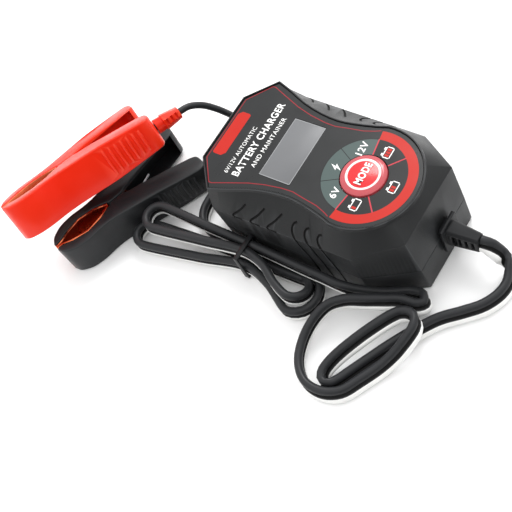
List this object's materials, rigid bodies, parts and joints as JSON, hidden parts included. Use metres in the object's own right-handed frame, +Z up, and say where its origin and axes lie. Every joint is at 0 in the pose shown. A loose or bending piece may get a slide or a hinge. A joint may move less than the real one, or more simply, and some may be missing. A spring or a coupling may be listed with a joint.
{
  "type": "car battery charger",
  "caption": "Small car battery charger: waisted two-shell housing with display and round mode button, flat twin cord in a hank, and a pair of sprung battery clamps.",
  "frame": {"origin": "middle of the housing base on the surface it lies on", "axes": "+Z up, +Y towards the mains inlet end, -Y towards the end the charging cord leaves, +X to the right of the display"},
  "size_m": [0.1567, 0.2842, 0.0587],
  "materials": {
    "housing": "moulded satin, fine grain",
    "label": "printed overlay, semi gloss",
    "display": "grey window, gloss",
    "display_module": "satin",
    "button_red": "clear coated",
    "switch_black": "matt",
    "board": "solder mask",
    "core_iron": "varnished laminations",
    "winding_copper": "enamelled wire",
    "capacitor_sleeve": "shrink sleeve",
    "heat_sink_metal": "extruded",
    "fuse_glass": "clear with metal caps",
    "inlet_black": "moulded",
    "pin_nickel": "plated",
    "relief_rubber": "moulded soft PVC",
    "cord_black": "soft PVC, satin",
    "tie_black": "plastic coated wire",
    "screw_steel": "zinc plated",
    "lamp_green": "diffused lens",
    "lamp_red": "diffused lens",
    "clamp_black": "moulded, semi matt",
    "clamp_red": "moulded, gloss",
    "jaw_copper": "copper plated",
    "spring_steel": "plain"
  },
  "bodies": {
    "charger": {"upper_shell": "housing", "lower_shell": "housing", "label_overlay": "label", "lcd_window": "display", "lcd_module": "display_module", "button_switch": "switch_black", "circuit_board": "board", "transformer_core": "core_iron", "transformer_winding": "winding_copper", "capacitor_1": "capacitor_sleeve", "capacitor_2": "capacitor_sleeve", "heat_sink": "heat_sink_metal", "power_transistor": "switch_black", "fuse": "fuse_glass", "mains_inlet": "inlet_black", "inlet_pin_left": "pin_nickel", "inlet_pin_right": "pin_nickel", "cord_strain_relief": "relief_rubber", "dc_cord": "cord_black", "dc_cord_hank": "cord_black", "dc_cord_tail": "cord_black", "twist_tie": "tie_black", "lead_splitter": "cord_black", "red_lead": "cord_black", "black_lead": "cord_black", "housing_screw_1": "screw_steel", "housing_screw_2": "screw_steel", "housing_screw_3": "screw_steel", "housing_screw_4": "screw_steel", "indicator_lamp_1": "lamp_green", "indicator_lamp_2": "lamp_green", "indicator_lamp_3": "lamp_green", "indicator_lamp_4": "lamp_red", "indicator_lamp_5": "lamp_red", "indicator_lamp_6": "lamp_red", "black_fixed_arm_cover": "clamp_black", "black_lead_boot": "clamp_black", "black_fixed_jaw": "jaw_copper", "black_pivot_pin": "spring_steel", "black_clamp_spring": "spring_steel", "red_fixed_arm_cover": "clamp_red", "red_lead_boot": "clamp_red", "red_fixed_jaw": "jaw_copper", "red_pivot_pin": "spring_steel", "red_clamp_spring": "spring_steel"},
    "mode_button": {"mode_button": "button_red"},
    "black_clamp_lever": {"black_free_arm_cover": "clamp_black", "black_free_jaw": "jaw_copper"},
    "red_clamp_lever": {"red_free_arm_cover": "clamp_red", "red_free_jaw": "jaw_copper"}
  },
  "joints": [
    {"name": "mode_button_press", "type": "slide", "parent": "charger", "child": "mode_button", "axis": [0, 0, -1], "range_m": [0, 0.0008], "stiffness_N_per_m": 900, "springref_m": -0.0006},
    {"name": "black_clamp_squeeze", "type": "hinge", "parent": "charger", "child": "black_clamp_lever", "pos_m": [-0.05149, 0.12435, 0.0121], "axis": [0, 0, -1], "range_deg": [0, 22], "stiffness_Nm_per_rad": 0.9, "springref_deg": -20.05},
    {"name": "red_clamp_squeeze", "type": "hinge", "parent": "charger", "child": "red_clamp_lever", "pos_m": [-0.05432, 0.14487, 0.04028], "axis": [-0.2112, -0.4176, -0.8837], "range_deg": [0, 22], "stiffness_Nm_per_rad": 0.9, "springref_deg": -20.05}
  ]
}
